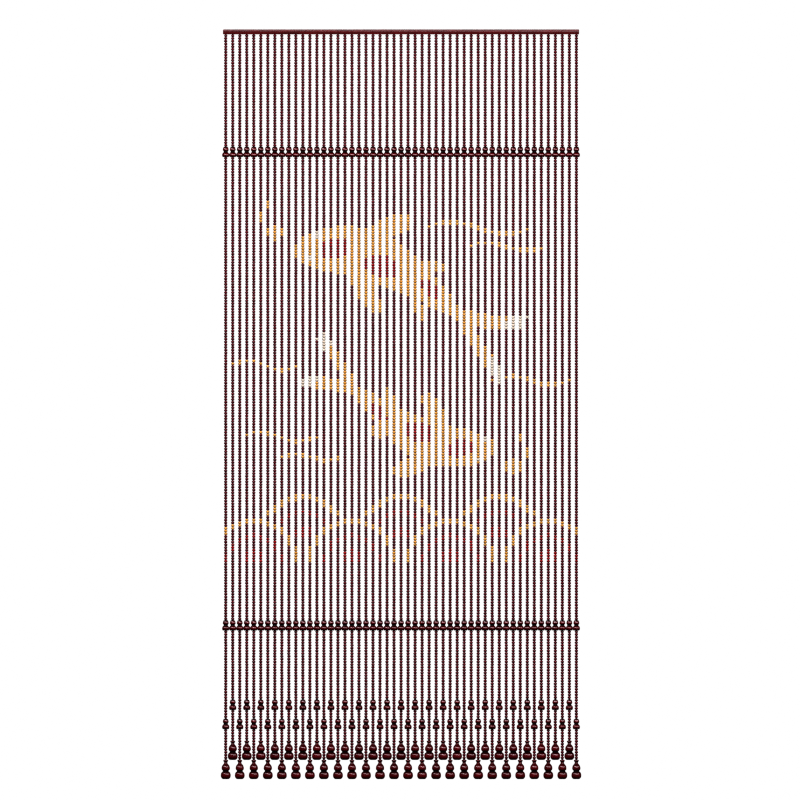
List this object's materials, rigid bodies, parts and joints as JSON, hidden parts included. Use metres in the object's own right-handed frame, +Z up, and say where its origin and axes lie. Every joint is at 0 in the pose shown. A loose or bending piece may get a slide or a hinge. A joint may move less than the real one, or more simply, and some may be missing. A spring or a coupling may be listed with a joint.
{
  "type": "bead curtain",
  "caption": "Bead curtain of wooden beads on straight strings under a narrow heading strip, with two cross rows of gourd beads and gourd pendants in a staggered hem.",
  "frame": {"origin": "middle of the heading strip's top face, where the curtain is held up", "axes": "+Z up along the strings, X across the curtain's width, Y through its depth"},
  "size_m": [0.901, 0.0246, 1.8739],
  "materials": {
    "heading_wood": "dark red stained wood, satin",
    "bead_wood": "dark red lacquered wood, glossy"
  },
  "bodies": {
    "root": {"heading": "heading_wood", "upper_row": "bead_wood", "lower_row": "bead_wood"}
  },
  "joints": []
}
